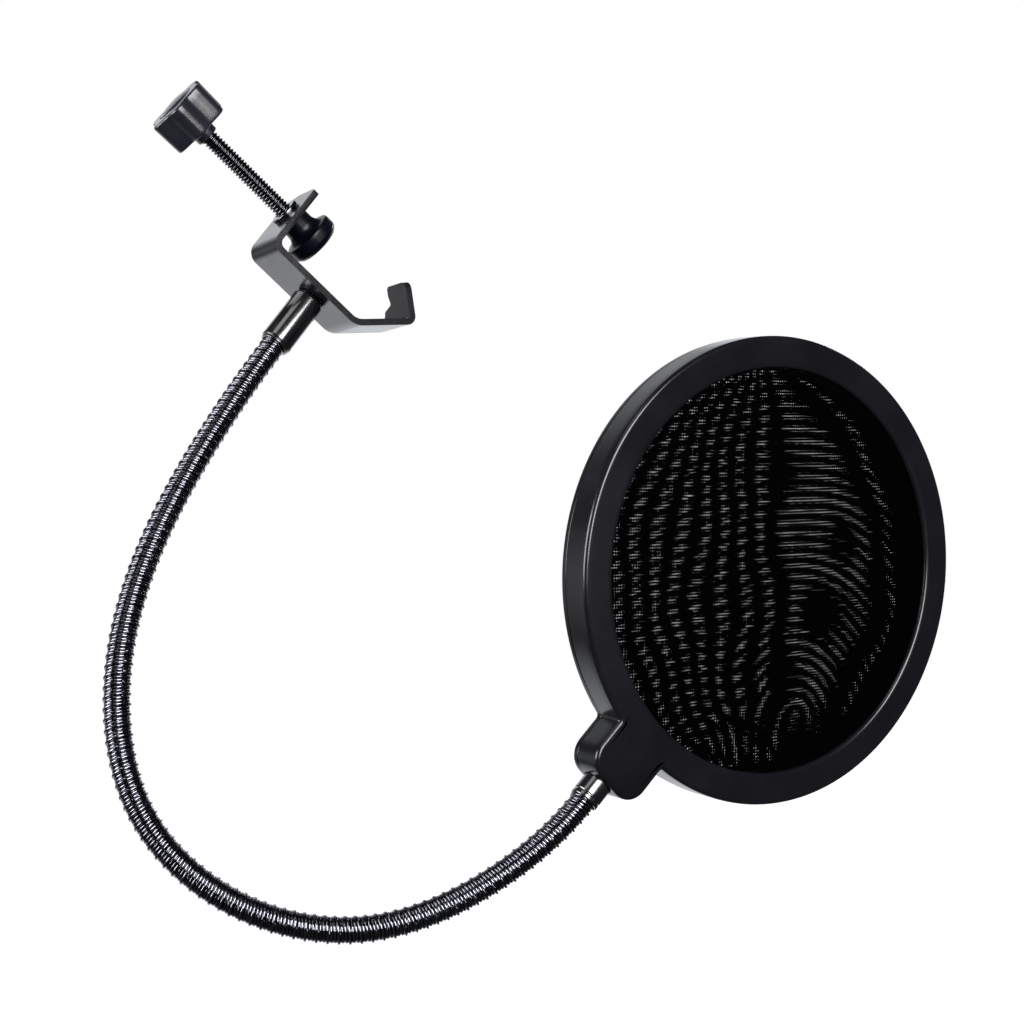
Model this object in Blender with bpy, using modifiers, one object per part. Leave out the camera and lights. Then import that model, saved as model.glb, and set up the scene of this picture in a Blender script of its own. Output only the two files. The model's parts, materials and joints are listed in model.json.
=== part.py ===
"""Double-net pop filter on a wound steel gooseneck, with a screw clamp.

Units are metres and +Z is up. The origin is the centre of the clamp's jaw, on
the clamp screw's axis. The filter head stands upright and faces -Y.

Three frames carry the pieces:
  clamp frame   x runs along the clamp screw towards the hook, y runs from the
                spine into the jaw, z runs across the strip
  screw frame   its z is the clamp frame's x, so turned pieces use z = x
  ring frame    z points out of the front of the filter, x is world +X
"""

import math

import bmesh
import bpy
import numpy as np
from mathutils import Euler, Matrix, Vector

MM = 0.001
GAP = 0.3  # mm, between pieces that touch

# ---------------------------------------------------------------- dimensions
# All in millimetres and degrees.

# Clamp bracket: one strip of steel, bent three times.
STRIP_WIDTH = 20.0
STRIP_THICK = 2.3
SPINE_LENGTH = 40.5      # outer corner to outer corner
LEG_LENGTH = 26.6        # outer face of the spine to the leg's free end
LEG_BEND_R = 4.6         # outer radius of the bend between leg and spine
HOOK_ANGLE = 44.0        # first hook face, from the screw axis
HOOK_LENGTH = 24.3
HOOK_BEND_R = 5.5
LIP_ANGLE = 137.6        # second hook face, from the screw axis
LIP_LENGTH = 15.4
LIP_BEND_R = 3.2
LIP_NOTCH = 7.7          # how much narrower the lip is at the back
LEG_BACK_R = 8.5         # rounded free corners of the leg
LEG_FRONT_R = 1.6
SCREW_OFFSET = 16.9      # screw axis from the spine's outer face
FERRULE_ALONG = 24.7     # gooseneck axis from the leg's outer face
CLAMP_TURN = (83.0, 41.0, -4.0)   # XYZ Euler of the clamp frame
JAW_ALONG = 32.0         # jaw centre from the leg's outer face
JAW_ACROSS = 15.3        # and from the spine's

# Clamp screw, M6, and what runs on it.
SCREW_R = 2.95
SCREW_HOLE_R = 3.03
SCREW_TOP = -48.6
BUSH_FLANGE_R = 5.2
BUSH_FLANGE_T = 1.3
BUSH_BODY_R = 4.2
KNOB_BOTTOM = -39.9
KNOB_HEIGHT = 12.0
KNOB_R = 11.7            # over the lobes
KNOB_LOBE = 0.95         # half the depth of a flute
KNOB_LOBES = 6
KNOB_BOSS_R = 4.0
KNOB_BOSS = 5.4
CAP_R = 6.8
CAP_DEPTH = 1.4
PAD_BACK = 2.9           # back of the pad's neck from the leg's outer face
PAD_NECK_R = 5.35
PAD_DISC_R = 9.2
PAD_DISC_BACK = 9.7
PAD_RIM = 14.3
PAD_FRONT = 15.9

# Gooseneck and its ferrules.
NECK_R = 4.15
NECK_BORE_R = 1.9
NECK_SEGMENTS = 8
BASE_FERRULE_R = 5.6
BASE_FERRULE_L = 22.0
FERRULE_BORE_R = 4.45
BASE_SOCKET = 12.0       # how far the gooseneck goes into the base ferrule
HEAD_SOCKET = 10.0       # and into the head ferrule
# Resting route of the gooseneck between its ferrules, world millimetres.
ROUTE = (
    (-58.5, -10, -57),
    (-84.5, -22, -95),
    (-99, -37, -135),
    (-96, -52, -169),
    (-74, -67, -194),
    (-38, -82, -204),
    (0, -94, -192),
)

# Filter head: two shells, two nets held by hoops, and a spacer.
RING_CENTRE = (103.5, -101.5, -98.6)
RING_R = 77.8
RING_INNER_R = 67.2
RING_HALF = 7.0          # half the thickness of the closed head
RING_WALL = 2.0
RING_PLATE = 1.5
RING_SPLIT = -4.0        # parting plane of the shells
EDGE = 0.6               # rounding of the front face's outer edge
REAR_EDGE = 1.5          # and of the rear's
LIP_EDGE = 0.8           # softened inner edge of the front face
HOOP_INNER_R = 68.0
HOOP_T = 1.6
NET_T = 0.4
RING_STEPS = 64
TAB_ANGLE = 43.5         # tab below -X, in the plane of the ring
TAB_WIDTH = 23.5
TAB_END = 94.0           # radius of the tab's end
TAB_CORNER_R = 7.5
HEAD_FERRULE_R = 4.9
HEAD_FERRULE_END = 101.5
COLLAR_R = 5.8
COLLAR_AT = 84.6
TAB_SCREW_SIDE = 8.4
TAB_SCREW_AT = 83.0

# ------------------------------------------------------------------ scene

for old in list(bpy.data.objects):
    bpy.data.objects.remove(old, do_unlink=True)

PARTS = bpy.data.collections.new("pop_filter")
CUTTERS = bpy.data.collections.new("cutters")
GUIDES = bpy.data.collections.new("joint_frames")
for made in (PARTS, CUTTERS, GUIDES):
    bpy.context.scene.collection.children.link(made)


def material(name, colour, roughness, metallic):
    made = bpy.data.materials.new(name)
    made.use_nodes = True
    shader = made.node_tree.nodes["Principled BSDF"]
    shader.inputs["Base Color"].default_value = (*colour, 1)
    shader.inputs["Roughness"].default_value = roughness
    shader.inputs["Metallic"].default_value = metallic
    made.diffuse_color = (*colour, 1)
    return made


SHELL = material("satin_black_plastic", (0.017, 0.017, 0.019), 0.42, 0)
NET = material("black_nylon_net", (0.008, 0.008, 0.009), 0.7, 0)
HOOP = material("black_inner_plastic", (0.01, 0.01, 0.011), 0.6, 0)
GLOSS = material("gloss_black_metal", (0.012, 0.012, 0.013), 0.18, 1)
COIL = material("black_wound_steel", (0.014, 0.014, 0.016), 0.28, 1)
STRIP = material("satin_black_coated_steel", (0.03, 0.03, 0.032), 0.38, 1)
OXIDE = material("black_oxide_steel", (0.02, 0.02, 0.022), 0.35, 1)
KNOB = material("knob_plastic", (0.015, 0.015, 0.018), 0.4, 0)
RUBBER = material("pad_rubber", (0.014, 0.014, 0.016), 0.55, 0)
STEEL = material("fastener_steel", (0.35, 0.35, 0.36), 0.3, 1)


def empty(name, matrix, parent=None):
    made = bpy.data.objects.new(name, None)
    made.empty_display_size = 8 * MM
    GUIDES.objects.link(made)
    made.parent = parent
    made.matrix_world = matrix
    return made


def frame(origin, x, y, z):
    """A world matrix from an origin in millimetres and three unit axes."""
    turned = Matrix((x, y, z)).transposed().to_4x4()
    return Matrix.Translation(Vector(origin) * MM) @ turned


CLAMP_ROT = Euler([math.radians(a) for a in CLAMP_TURN]).to_matrix()
S_AXIS, T_AXIS, F_AXIS = (CLAMP_ROT @ Vector(v) for v in ((1, 0, 0), (0, 1, 0), (0, 0, 1)))


def clamp_point(s, t, f=0.0):
    """World millimetres of a point given in the clamp frame."""
    return (s - JAW_ALONG) * S_AXIS + (t - JAW_ACROSS) * T_AXIS + f * F_AXIS


CLAMP = frame(clamp_point(0, 0), S_AXIS, T_AXIS, F_AXIS)
SCREW = frame(clamp_point(0, SCREW_OFFSET), T_AXIS, F_AXIS, S_AXIS)
BASE = frame(clamp_point(FERRULE_ALONG, 0), -F_AXIS, S_AXIS, -T_AXIS)
RING = frame(RING_CENTRE, Vector((1, 0, 0)), Vector((0, 0, 1)), Vector((0, -1, 0)))
TAB_DIR = Vector((-math.cos(math.radians(TAB_ANGLE)), 0, -math.sin(math.radians(TAB_ANGLE))))
TAB_SIDE = TAB_DIR.cross(Vector((0, -1, 0)))
# z out along the tab, x out of the front of the ring
TAB = frame(RING_CENTRE, Vector((0, -1, 0)), TAB_SIDE, TAB_DIR)
# the same place with z out of the front, x out along the tab
TAB_FLAT = frame(RING_CENTRE, TAB_DIR, Vector((0, -1, 0)).cross(TAB_DIR), Vector((0, -1, 0)))


# ------------------------------------------------------------------ builders

def place(obj, look, cutter=False):
    if cutter:
        CUTTERS.objects.link(obj)
        obj.hide_render = True
        obj.display_type = "WIRE"
    else:
        PARTS.objects.link(obj)
        obj.data.materials.clear()
        obj.data.materials.append(look)
    return obj


def turned(name, profile, matrix, look=None, closed=False, steps=32):
    """A solid of revolution about the frame's z. The profile is (radius, z) in
    millimetres and runs down its outer side, top to bottom."""
    mesh = bpy.data.meshes.new(name)
    count = len(profile)
    edges = [(i, i + 1) for i in range(count - 1)]
    if closed:
        edges.append((count - 1, 0))
    mesh.from_pydata([(r * MM, 0, z * MM) for r, z in profile], edges, [])
    obj = bpy.data.objects.new(name, mesh)
    place(obj, look, cutter=look is None)
    obj.matrix_world = matrix
    spin = obj.modifiers.new("turn", "SCREW")
    spin.axis = "Z"
    spin.angle = math.tau
    spin.screw_offset = 0
    spin.steps = spin.render_steps = steps
    spin.use_merge_vertices = True
    spin.merge_threshold = 0.00001
    spin.use_smooth_shade = True
    return obj


def rod(radius, low, high, chamfer=0.0):
    """The profile of a plain round bar, from its top to its bottom."""
    if chamfer:
        return [(0, high), (radius - chamfer, high), (radius, high - chamfer),
                (radius, low + chamfer), (radius - chamfer, low), (0, low)]
    return [(0, high), (radius, high), (radius, low), (0, low)]


def plate(name, outline, low, high, matrix, look=None, bevel=0.0):
    """A flat outline in the frame's xy plane, filled from z = low to high."""
    curve = bpy.data.curves.new(name, "CURVE")
    curve.dimensions = "2D"
    curve.fill_mode = "BOTH"
    curve.extrude = (high - low) / 2 * MM
    spline = curve.splines.new("POLY")
    spline.points.add(len(outline) - 1)
    for point, (x, y) in zip(spline.points, outline):
        point.co = (x * MM, y * MM, 0, 1)
    spline.use_cyclic_u = True
    source = bpy.data.objects.new(name + "_outline", curve)
    bpy.context.scene.collection.objects.link(source)
    source.matrix_world = matrix @ Matrix.Translation((0, 0, (high + low) / 2 * MM))
    obj = meshed(source, name)
    place(obj, look, cutter=look is None)
    if bevel:
        edge = obj.modifiers.new("edge", "BEVEL")
        edge.width = bevel * MM
        edge.segments = 2
        edge.limit_method = "ANGLE"
        edge.angle_limit = math.radians(50)
    return obj


def meshed(source, name):
    """The object as a welded mesh, replacing the curve or the modifiers."""
    bpy.context.view_layer.update()
    graph = bpy.context.evaluated_depsgraph_get()
    mesh = bpy.data.meshes.new_from_object(source.evaluated_get(graph))
    mesh.name = name
    work = bmesh.new()
    work.from_mesh(mesh)
    bmesh.ops.remove_doubles(work, verts=work.verts, dist=0.000001)
    bmesh.ops.recalc_face_normals(work, faces=work.faces)
    work.to_mesh(mesh)
    work.free()
    made = bpy.data.objects.new(name, mesh)
    made.matrix_world = source.matrix_world.copy()
    bpy.data.objects.remove(source, do_unlink=True)
    return made


def combine(target, other, how):
    cut = target.modifiers.new(how.lower() + "_" + other.name, "BOOLEAN")
    cut.operation = how
    cut.solver = "EXACT"
    cut.object = other
    return target


def fixed(obj, look, name=None):
    """The object with its modifiers applied, kept under the same name."""
    name = name or obj.name
    obj.name = name + "_source"
    made = meshed(obj, name)
    made.name = name
    return place(made, look)


def round_shading(obj, angle=35):
    obj.data.shade_smooth()
    obj.data.set_sharp_from_angle(angle=math.radians(angle))


# ------------------------------------------------------------ clamp bracket

def offset_strip(corners, radii, thick, arc_steps=5):
    """Closed outline of a bent strip. corners are the outer polyline, radii
    the outer bend radii at its inner corners; the strip lies on the left."""
    points = [Vector(c) for c in corners]
    outer, inner = [points[0]], []
    ahead = (points[1] - points[0]).normalized()
    inner.append(points[0] + thick * Vector((-ahead.y, ahead.x)))
    for i in range(1, len(points) - 1):
        before = (points[i] - points[i - 1]).normalized()
        after = (points[i + 1] - points[i]).normalized()
        turn = math.atan2(before.cross(after), before.dot(after))
        radius = radii[i - 1]
        back = radius * math.tan(abs(turn) / 2)
        start = points[i] - back * before
        centre = start + radius * Vector((-before.y, before.x))
        for step in range(arc_steps + 1):
            a = turn * step / arc_steps
            spoke = start - centre
            spoke = Vector((spoke.x * math.cos(a) - spoke.y * math.sin(a),
                            spoke.x * math.sin(a) + spoke.y * math.cos(a)))
            outer.append(centre + spoke)
            inner.append(centre + spoke * (radius - thick) / radius)
    ahead = (points[-1] - points[-2]).normalized()
    outer.append(points[-1])
    inner.append(points[-1] + thick * Vector((-ahead.y, ahead.x)))
    return [tuple(p) for p in outer + inner[::-1]]


def polar(angle, length):
    return Vector((math.cos(math.radians(angle)), math.sin(math.radians(angle)))) * length


bend_1 = Vector((0, 0))
bend_2 = Vector((SPINE_LENGTH, 0))
bend_3 = bend_2 + polar(HOOK_ANGLE, HOOK_LENGTH)
lip_end = bend_3 + polar(LIP_ANGLE, LIP_LENGTH)
strip = offset_strip(
    [(0, LEG_LENGTH), bend_1, bend_2, bend_3, lip_end],
    [LEG_BEND_R, HOOK_BEND_R, LIP_BEND_R],
    STRIP_THICK,
)
bracket = plate("bracket_blank", strip, -STRIP_WIDTH / 2, STRIP_WIDTH / 2, CLAMP, STRIP)


def corner_waste(reach, radius, far, side, steps=6):
    """What a rounded corner takes off a square one: the corner is at
    (reach, side * far) and the outline is (along, across)."""
    centre = (reach - radius, far - radius)
    arc = [(centre[0] + radius * math.sin(a), centre[1] + radius * math.cos(a))
           for a in (math.pi / 2 * k / steps for k in range(steps + 1))]
    outline = [(centre[0], far + 3)] + arc + [(reach + 3, centre[1]), (reach + 3, far + 3)]
    return [(a, side * b) for a, b in outline]


# (along the leg, across the strip) in a frame whose z is the screw axis
LEG_FACE = frame(clamp_point(0, 0), T_AXIS, F_AXIS, S_AXIS)
for side, radius, label in ((1, LEG_FRONT_R, "front"), (-1, LEG_BACK_R, "back")):
    waste = plate(f"leg_corner_{label}", corner_waste(LEG_LENGTH, radius, STRIP_WIDTH / 2, side), -2, 5, LEG_FACE)
    combine(bracket, waste, "DIFFERENCE")

# The lip narrows at the back: a soft shoulder, a waist and a rounded tip.
lip_dir = CLAMP_ROT @ polar(LIP_ANGLE, 1).to_3d()
lip_out = CLAMP_ROT @ polar(LIP_ANGLE - 90, 1).to_3d()
LIP_FACE = frame(clamp_point(*bend_3), lip_dir, F_AXIS, lip_dir.cross(F_AXIS))
half = STRIP_WIDTH / 2


def lip_back(u):
    """How far the lip reaches to the back at distance u from the vertex."""
    reach = half
    for start, end, drop in ((2.0, 6.5, 0.37 * LIP_NOTCH), (6.5, 9.2, 0.63 * LIP_NOTCH), (9.2, 12.5, -0.12 * LIP_NOTCH)):
        k = min(1.0, max(0.0, (u - start) / (end - start)))
        reach -= drop * k * k * (3 - 2 * k)
    return reach


back = [(2.0 + 0.75 * k, -lip_back(2.0 + 0.75 * k)) for k in range(int((LIP_LENGTH - 2.0) / 0.75) + 1)]
back = back[:-1] + [(LIP_LENGTH - 0.5, 1.0 - lip_back(14)), (LIP_LENGTH + 3, 2.2 - lip_back(14))]
combine(bracket, plate("lip_shoulder", back + [(LIP_LENGTH + 3, -half - 3), (2.0, -half - 3)], -5, 5, LIP_FACE), "DIFFERENCE")
combine(bracket, plate("lip_corner", corner_waste(LIP_LENGTH, 3.0, half, 1), -5, 5, LIP_FACE), "DIFFERENCE")

combine(bracket, turned("bush_hole", rod(BUSH_BODY_R + GAP, -3, 6), SCREW, steps=24), "DIFFERENCE")
combine(bracket, turned("base_screw_hole", rod(2.8, -6, 3), BASE, steps=24), "DIFFERENCE")
bracket = fixed(bracket, STRIP, "clamp_bracket")
edge = bracket.modifiers.new("broken_edges", "BEVEL")
edge.width = 0.25 * MM
edge.segments = 1
edge.limit_method = "ANGLE"
edge.angle_limit = math.radians(60)

# ------------------------------------------------- threaded bush, screw, knob

bush_bottom = STRIP_THICK - GAP
turned("thread_bush",
       [(SCREW_HOLE_R, bush_bottom), (BUSH_BODY_R, bush_bottom), (BUSH_BODY_R, -GAP),
        (BUSH_FLANGE_R, -GAP), (BUSH_FLANGE_R, -GAP - BUSH_FLANGE_T + 0.3),
        (BUSH_FLANGE_R - 0.3, -GAP - BUSH_FLANGE_T), (SCREW_HOLE_R, -GAP - BUSH_FLANGE_T)],
       SCREW, OXIDE, closed=True, steps=24)

ball_at = 9.0
turned("clamp_screw",
       [(0, ball_at + 2.6), (1.3, ball_at + 2.3), (2.3, ball_at + 1.3), (2.6, ball_at),
        (2.3, ball_at - 1.2), (1.8, ball_at - 1.8), (1.8, 6.6), (SCREW_R - 0.5, 6.1),
        (SCREW_R, 5.5), (SCREW_R, SCREW_TOP + 0.5), (SCREW_R - 0.5, SCREW_TOP), (0, SCREW_TOP)],
       SCREW, OXIDE, steps=24)


def lobed(radius, depth, lobes, steps):
    return [((radius - depth + depth * math.cos(lobes * a)) * math.cos(a),
             (radius - depth + depth * math.cos(lobes * a)) * math.sin(a))
            for a in (math.tau * k / steps for k in range(steps))]


knob = plate("knob_blank", lobed(KNOB_R, KNOB_LOBE, KNOB_LOBES, 72),
             KNOB_BOTTOM - KNOB_HEIGHT, KNOB_BOTTOM, SCREW, KNOB, bevel=0.5)
knob = fixed(knob, KNOB, "knob_blank")
combine(knob, turned("knob_boss", rod(KNOB_BOSS_R, KNOB_BOTTOM - 2, KNOB_BOTTOM + KNOB_BOSS, 0.4), SCREW, steps=32), "UNION")
combine(knob, turned("knob_bore", rod(SCREW_R + GAP, SCREW_TOP - GAP, KNOB_BOTTOM + KNOB_BOSS + 3), SCREW, steps=24), "DIFFERENCE")
combine(knob, turned("cap_recess", rod(CAP_R + GAP, KNOB_BOTTOM - KNOB_HEIGHT - 3, KNOB_BOTTOM - KNOB_HEIGHT + CAP_DEPTH), SCREW, steps=32), "DIFFERENCE")
knob = fixed(knob, KNOB, "knob_body")
cap_top = KNOB_BOTTOM - KNOB_HEIGHT - 0.3
cap_low = KNOB_BOTTOM - KNOB_HEIGHT + CAP_DEPTH - GAP
turned("knob_cap", [(0, cap_low), (CAP_R, cap_low), (CAP_R, cap_top + 0.5), (CAP_R - 0.6, cap_top), (0, cap_top - 0.3)],
       SCREW, KNOB, steps=32)

# ------------------------------------------------------------- pressure pad
# A bell: a round neck that flares into a disc with a soft front edge. Its
# socket closes behind the ball on the end of the screw.

flare = []
for k in range(7):
    a = math.pi / 2 * k / 6
    # a quarter round from the neck out to the back of the disc
    flare.append((PAD_DISC_R - 0.7 - (PAD_DISC_R - 0.7 - PAD_NECK_R) * math.sin(a),
                  PAD_DISC_BACK - 3.4 * (1 - math.cos(a))))
pad = ([(0, PAD_FRONT), (6.0, PAD_FRONT), (8.0, PAD_FRONT - 0.7), (PAD_DISC_R - 0.5, PAD_RIM), (PAD_DISC_R, PAD_RIM - 1.0),
        (PAD_DISC_R, PAD_DISC_BACK + 0.6)] + flare
       + [(PAD_NECK_R, PAD_BACK + 0.4), (PAD_NECK_R - 0.4, PAD_BACK), (SCREW_R + GAP, PAD_BACK),
          (SCREW_R + GAP, 6.3), (2.15, 6.9), (2.15, ball_at - 1.9),
          (2.6, ball_at - 1.4), (2.95, ball_at), (2.6, ball_at + 1.5), (1.6, ball_at + 2.6), (0, ball_at + 2.95)])
turned("pressure_pad", pad, SCREW, RUBBER, steps=32)

# ------------------------------------------------------- base of the gooseneck

r_in, r_out, top = FERRULE_BORE_R, BASE_FERRULE_R, BASE_FERRULE_L
floor = top - BASE_SOCKET - GAP
turned("base_ferrule",
       [(r_in, top), (r_out - 0.3, top), (r_out, top - 0.4), (r_out, 1.1), (r_out - 0.8, GAP),
        (2.7, GAP), (2.7, 7.5), (1.5, floor - 1.5), (1.5, floor), (r_in, floor)],
       BASE, GLOSS, closed=True, steps=32)
washer_low = -STRIP_THICK - GAP
turned("base_washer", [(2.8, washer_low), (4.6, washer_low), (4.6, washer_low - 0.4), (2.8, washer_low - 0.4)],
       BASE, STEEL, closed=True, steps=24)
head_low = washer_low - 0.4 - GAP
turned("base_screw",
       [(0, 7.0), (1.9, 7.0), (2.4, 6.4), (2.4, head_low), (4.1, head_low), (4.1, head_low - 0.6),
        (3.2, head_low - 1.2), (1.2, head_low - 1.3), (1.2, head_low - 0.6), (0, head_low - 0.6)],
       BASE, STEEL, steps=24)

# ---------------------------------------------------------------- gooseneck

def clamped_spline(points, first, last):
    """Cubic through the points, with unit end tangents; returns a function
    of chord length, and the total chord length."""
    points = np.array(points, float)
    knots = np.concatenate([[0.0], np.cumsum(np.linalg.norm(np.diff(points, axis=0), axis=1))])
    h = np.diff(knots)
    n = len(points)
    matrix = np.zeros((n, n))
    right = np.zeros((n, 3))
    matrix[0, 0] = matrix[-1, -1] = 1
    right[0], right[-1] = first, last
    for i in range(1, n - 1):
        matrix[i, i - 1] = h[i]
        matrix[i, i] = 2 * (h[i - 1] + h[i])
        matrix[i, i + 1] = h[i - 1]
        right[i] = 3 * (h[i] * (points[i] - points[i - 1]) / h[i - 1] + h[i - 1] * (points[i + 1] - points[i]) / h[i])
    slopes = np.linalg.solve(matrix, right)

    def at(s):
        i = int(np.clip(np.searchsorted(knots, s) - 1, 0, n - 2))
        u = (s - knots[i]) / h[i]
        return ((2 * u**3 - 3 * u**2 + 1) * points[i] + (u**3 - 2 * u**2 + u) * h[i] * slopes[i]
                + (-2 * u**3 + 3 * u**2) * points[i + 1] + (u**3 - u**2) * h[i] * slopes[i + 1])

    return at, knots[-1]


neck_start = clamp_point(FERRULE_ALONG, -BASE_FERRULE_L)
neck_end = Vector(RING_CENTRE) + HEAD_FERRULE_END * TAB_DIR
route, chord = clamped_spline([neck_start, *ROUTE, neck_end], -T_AXIS, -TAB_DIR)
fine = np.array([route(chord * k / 1200) for k in range(1201)])
run = np.concatenate([[0.0], np.cumsum(np.linalg.norm(np.diff(fine, axis=0), axis=1))])
NECK_LENGTH = float(run[-1])


def neck_point(length):
    """A point on the gooseneck's centreline. Lengths under 0 and over the free
    length lie in the ferrules."""
    if length < 0:
        return neck_start + T_AXIS * -length
    if length > NECK_LENGTH:
        return neck_end - TAB_DIR * (length - NECK_LENGTH)
    return Vector([float(np.interp(length, run, fine[:, k])) for k in range(3)])


def neck_tangent(length):
    return (neck_point(length + 0.5) - neck_point(length - 0.5)).normalized()


def neck_tube(name, start, end, radius, sides, extend=0.0):
    count = max(3, int(math.ceil((end - start) / 7.5)) + 1)
    points = [neck_point(start + (end - start) * k / (count - 1)) for k in range(count)]
    if extend:
        points = ([points[0] - neck_tangent(start) * extend] + points
                  + [points[-1] + neck_tangent(end) * extend])
    curve = bpy.data.curves.new(name, "CURVE")
    curve.dimensions = "3D"
    curve.bevel_depth = radius * MM
    curve.bevel_resolution = (sides - 4) // 2
    curve.use_fill_caps = True
    spline = curve.splines.new("POLY")
    spline.points.add(len(points) - 1)
    for point, place_at in zip(spline.points, points):
        point.co = (*(place_at * MM), 1)
    source = bpy.data.objects.new(name + "_line", curve)
    bpy.context.scene.collection.objects.link(source)
    return meshed(source, name)


def ball(name, centre, radius):
    work = bmesh.new()
    bmesh.ops.create_uvsphere(work, u_segments=16, v_segments=10, radius=radius * MM)
    mesh = bpy.data.meshes.new(name)
    work.to_mesh(mesh)
    work.free()
    obj = bpy.data.objects.new(name, mesh)
    obj.location = centre * MM
    return place(obj, None, cutter=True)


bend_normal = Vector(np.cross(fine[300] - fine[0], fine[-1] - fine[300])).normalized()
joint_at = [NECK_LENGTH * k / NECK_SEGMENTS for k in range(1, NECK_SEGMENTS)]
stops = [-BASE_SOCKET] + joint_at + [NECK_LENGTH + HEAD_SOCKET]
for k in range(NECK_SEGMENTS):
    name = f"gooseneck_{k + 1}"
    tube = neck_tube(name + "_blank", stops[k], stops[k + 1], NECK_R, 12)
    place(tube, COIL)
    # Every joint is a round end sitting in a hollow one, on one centre.
    if k < NECK_SEGMENTS - 1:
        combine(tube, ball(f"{name}_round_end", neck_point(stops[k + 1]), NECK_R - 0.2), "UNION")
    if k > 0:
        combine(tube, ball(f"{name}_hollow_end", neck_point(stops[k]), NECK_R + GAP), "DIFFERENCE")
    bore = neck_tube(f"{name}_bore", stops[k], stops[k + 1], NECK_BORE_R, 8, extend=6.0)
    place(bore, None, cutter=True)
    combine(tube, bore, "DIFFERENCE")
    tube = fixed(tube, COIL, name)
    pivot = neck_point(stops[k]) if k else neck_start
    tube.data.transform(Matrix.Translation(-pivot * MM))
    tube.location = pivot * MM
    round_shading(tube, 40)

# ---------------------------------------------------------------- filter head

R, H, r0 = RING_R, RING_HALF, RING_INNER_R
split_front, split_rear = RING_SPLIT + GAP / 2, RING_SPLIT - GAP / 2
wall_in = R - RING_WALL
plate_in = H - RING_PLATE
sleeve_out = wall_in - GAP
sleeve_in = sleeve_out - 1.8
sleeve_top = 2.2


def head_outline():
    """The head from the front: a circle with a rounded lug, as (out along the
    tab, across it)."""
    half_width, c = TAB_WIDTH / 2, TAB_CORNER_R
    meet = math.asin(half_width / R)
    round_part = [(R * math.cos(a), R * math.sin(a))
                  for a in (meet + (math.tau - 2 * meet) * k / RING_STEPS for k in range(RING_STEPS + 1))]
    arc = [(TAB_END - c + c * math.sin(a), half_width - c + c * math.cos(a))
           for a in (math.pi / 2 * k / 6 for k in range(7))]
    return round_part + [(x, -y) for x, y in arc] + list(reversed(arc))


front = plate("front_blank", head_outline(), split_front, H, TAB_FLAT, SHELL)
front = fixed(front, SHELL, "ring_front_shell")
rear = plate("rear_blank", head_outline(), -H, split_rear, TAB_FLAT, SHELL)
rear = fixed(rear, SHELL, "ring_rear_shell")
combine(rear, turned("rear_sleeve", rod(sleeve_out, -H + 1, sleeve_top), RING, steps=RING_STEPS), "UNION")
combine(front, turned("front_hollow",
                      [(0, H + 2), (r0 + LIP_EDGE + 2, H + 2), (r0 + 0.3, H - 0.7 * LIP_EDGE), (r0, H - 1.3 * LIP_EDGE), (r0, plate_in), (wall_in, plate_in), (wall_in, -12), (0, -12)],
                      RING, steps=RING_STEPS), "DIFFERENCE")
combine(rear, turned("rear_hollow",
                     [(0, 12), (sleeve_in, 12), (sleeve_in, -plate_in), (r0, -plate_in), (r0, -H + 0.4), (r0 + 2.4, -H - 2), (0, -H - 2)],
                     RING, steps=RING_STEPS), "DIFFERENCE")

bore = turned("ferrule_bore", rod(HEAD_FERRULE_R + GAP, COLLAR_AT - 0.6, TAB_END + 6), TAB, steps=24)
pocket = turned("collar_pocket", rod(COLLAR_R + GAP, COLLAR_AT - 0.6, COLLAR_AT + 2.2), TAB, steps=24)
for shell, name in ((front, "ring_front_shell"), (rear, "ring_rear_shell")):
    combine(shell, bore, "DIFFERENCE")
    combine(shell, pocket, "DIFFERENCE")
    for side, label in ((1, "left"), (-1, "right")):
        at = TAB_FLAT @ Matrix.Translation((TAB_SCREW_AT * MM, side * TAB_SCREW_SIDE * MM, 0))
        if shell is front:
            hole = turned(f"pilot_{label}", rod(1.3, -12, 3.0), at, steps=16)
        else:
            hole = turned(f"countersink_{label}", [(0, 0), (1.5, 0), (1.5, -5.2), (2.6, -5.5), (2.6, -12), (0, -12)], at, steps=16)
        combine(shell, hole, "DIFFERENCE")
    shell = fixed(shell, SHELL, name)
    rim = shell.modifiers.new("rim", "BEVEL")
    rim.width = (EDGE if name == "ring_front_shell" else REAR_EDGE) * MM
    rim.segments = 2 if name == "ring_front_shell" else 3
    rim.limit_method = "WEIGHT"
    weights = shell.data.attributes.new("bevel_weight_edge", "FLOAT", "EDGE")
    level = (H if name == "ring_front_shell" else -H) * MM
    # only the outer edge of the face is rounded
    flat = TAB_FLAT.inverted() @ shell.matrix_world
    at_rim = []
    for vert in shell.data.vertices:
        spot = flat @ vert.co
        at_rim.append(abs(spot.z - level) < 0.00001 and math.hypot(spot.x, spot.y) > (r0 + 5) * MM)
    for line in shell.data.edges:
        a, b = line.vertices
        weights.data[line.index].value = 1.0 if at_rim[a] and at_rim[b] else 0.0
    round_shading(shell)

for side, label in ((1, "left"), (-1, "right")):
    at = TAB_FLAT @ Matrix.Translation((TAB_SCREW_AT * MM, side * TAB_SCREW_SIDE * MM, 0))
    turned(f"tab_screw_{label}",
           [(0, 2.4), (0.7, 2.0), (1.05, 0.6), (1.05, -5.4), (2.3, -5.8), (2.3, -6.3), (1.7, -6.8), (0.9, -6.9), (0.9, -6.3), (0, -6.3)],
           at, STEEL, steps=16)

net_top = plate_in - GAP
hoop_top = net_top - NET_T - GAP
hoop_low = hoop_top - HOOP_T
spacer = hoop_low - GAP
hoop_out = sleeve_in - GAP


def ring_of(name, inner, outer, low, high, look, matrix=RING):
    return turned(name, [(inner, high), (outer, high), (outer, low), (inner, low)], matrix, look, closed=True, steps=RING_STEPS)


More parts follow.
